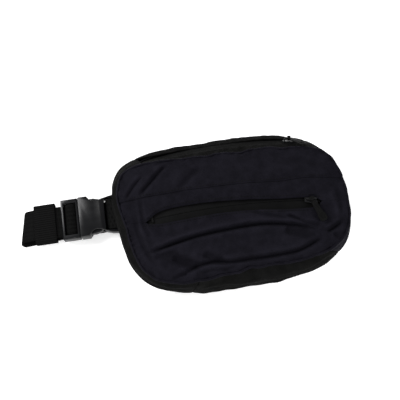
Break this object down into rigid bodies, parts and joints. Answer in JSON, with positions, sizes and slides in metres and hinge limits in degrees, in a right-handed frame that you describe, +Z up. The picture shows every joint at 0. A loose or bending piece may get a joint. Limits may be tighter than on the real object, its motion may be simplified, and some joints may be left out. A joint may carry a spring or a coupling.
{
  "type": "waist pack",
  "caption": "Soft zipped waist pack with a front pocket, a padded back and a webbing belt closed by a side-release buckle.",
  "frame": {"origin": "on the floor under the middle of the whole object's box, the pack lying on its back", "axes": "+X along the pack, away from the buckle; +Y towards the top edge with the main zip; +Z up out of the front panel"},
  "size_m": [0.2573, 0.1159, 0.0486],
  "materials": {
    "front_nylon": "plain woven nylon",
    "gusset_nylon": "plain woven nylon",
    "lining": "thin woven lining",
    "foam": "soft foam padding",
    "zip_tape": "woven tape with a water-repellent film",
    "zip_coil": "nylon coil",
    "zip_metal": "dark painted zinc",
    "pull_rubber": "moulded soft pull",
    "webbing": "flat woven belt webbing",
    "buckle_plastic": "moulded acetal, lightly glossy"
  },
  "bodies": {
    "bag": {"anchor_webbing": "webbing", "back_foam_pad": "foam", "back_lining": "lining", "back_panel": "gusset_nylon", "belt_slack_fold": "webbing", "belt_stored_folds": "webbing", "bottom_gusset": "gusset_nylon", "buckle_female": "buckle_plastic", "front_binding": "gusset_nylon", "front_lower_panel": "front_nylon", "front_pocket_facing": "front_nylon", "front_yoke": "front_nylon", "interior_mesh_pocket": "lining", "lining_wall": "lining", "main_zip_coil": "zip_coil", "main_zip_stop_left": "zip_metal", "main_zip_stop_right": "zip_metal", "main_zip_tape_front": "zip_tape", "main_zip_tape_rear": "zip_tape", "pocket_backing": "lining", "pocket_zip_coil": "zip_coil", "pocket_zip_stop_left": "zip_metal", "pocket_zip_stop_right": "zip_metal", "pocket_zip_tape_lower": "zip_tape", "pocket_zip_tape_upper": "zip_tape", "rear_binding": "gusset_nylon", "right_side_wing": "front_nylon", "side_gusset_left": "gusset_nylon", "side_gusset_right": "gusset_nylon", "top_gusset_front": "gusset_nylon", "top_gusset_rear": "gusset_nylon"},
    "main_slider": {"main_zip_slider": "zip_metal"},
    "main_pull": {"main_zip_pull": "pull_rubber"},
    "pocket_slider": {"pocket_zip_slider": "zip_metal"},
    "pocket_pull": {"pocket_zip_pull": "pull_rubber"},
    "belt": {"belt_main_run": "webbing", "buckle_male": "buckle_plastic"},
    "keeper": {"belt_keeper": "webbing"},
    "latch_arm_upper": {"latch_arm_upper": "buckle_plastic"},
    "latch_arm_lower": {"latch_arm_lower": "buckle_plastic"}
  },
  "joints": [
    {"name": "main_zip_slide", "type": "hinge", "parent": "bag", "child": "main_slider", "pos_m": [0.03127, -0.29837, 0.0292], "axis": [0, 0, 1], "range_deg": [0, 17.79]},
    {"name": "main_pull_swing", "type": "hinge", "parent": "main_slider", "child": "main_pull", "pos_m": [0.08998, 0.04727, 0.03196], "axis": [-0.9859, 0.1676, 0], "range_deg": [0, 150]},
    {"name": "pocket_zip_slide", "type": "hinge", "parent": "bag", "child": "pocket_slider", "pos_m": [0.02873, -0.30507, -0.28609], "axis": [-0.0203, -0.7398, 0.6725], "range_deg": [0, 14.29]},
    {"name": "pocket_pull_swing", "type": "hinge", "parent": "pocket_slider", "child": "pocket_pull", "pos_m": [0.09584, -0.00834, 0.04664], "axis": [-0.9886, 0.1151, 0.0968], "range_deg": [0, 150]},
    {"name": "buckle_release", "type": "slide", "parent": "bag", "child": "belt", "axis": [-1, 0, 0], "range_m": [0, 0.028], "deforming": ["belt_slack_fold"]},
    {"name": "keeper_slide", "type": "slide", "parent": "belt", "child": "keeper", "axis": [1, 0, 0], "range_m": [-0.006, 0.0035]},
    {"name": "latch_press_upper", "type": "hinge", "parent": "belt", "child": "latch_arm_upper", "pos_m": [-0.07985, 0.0265, 0.0069], "axis": [0, 0, -1], "range_deg": [0, 7], "stiffness_Nm_per_rad": 0.05},
    {"name": "latch_press_lower", "type": "hinge", "parent": "belt", "child": "latch_arm_lower", "pos_m": [-0.07985, 0.0045, 0.0069], "axis": [0, 0, 1], "range_deg": [0, 7], "stiffness_Nm_per_rad": 0.05}
  ]
}
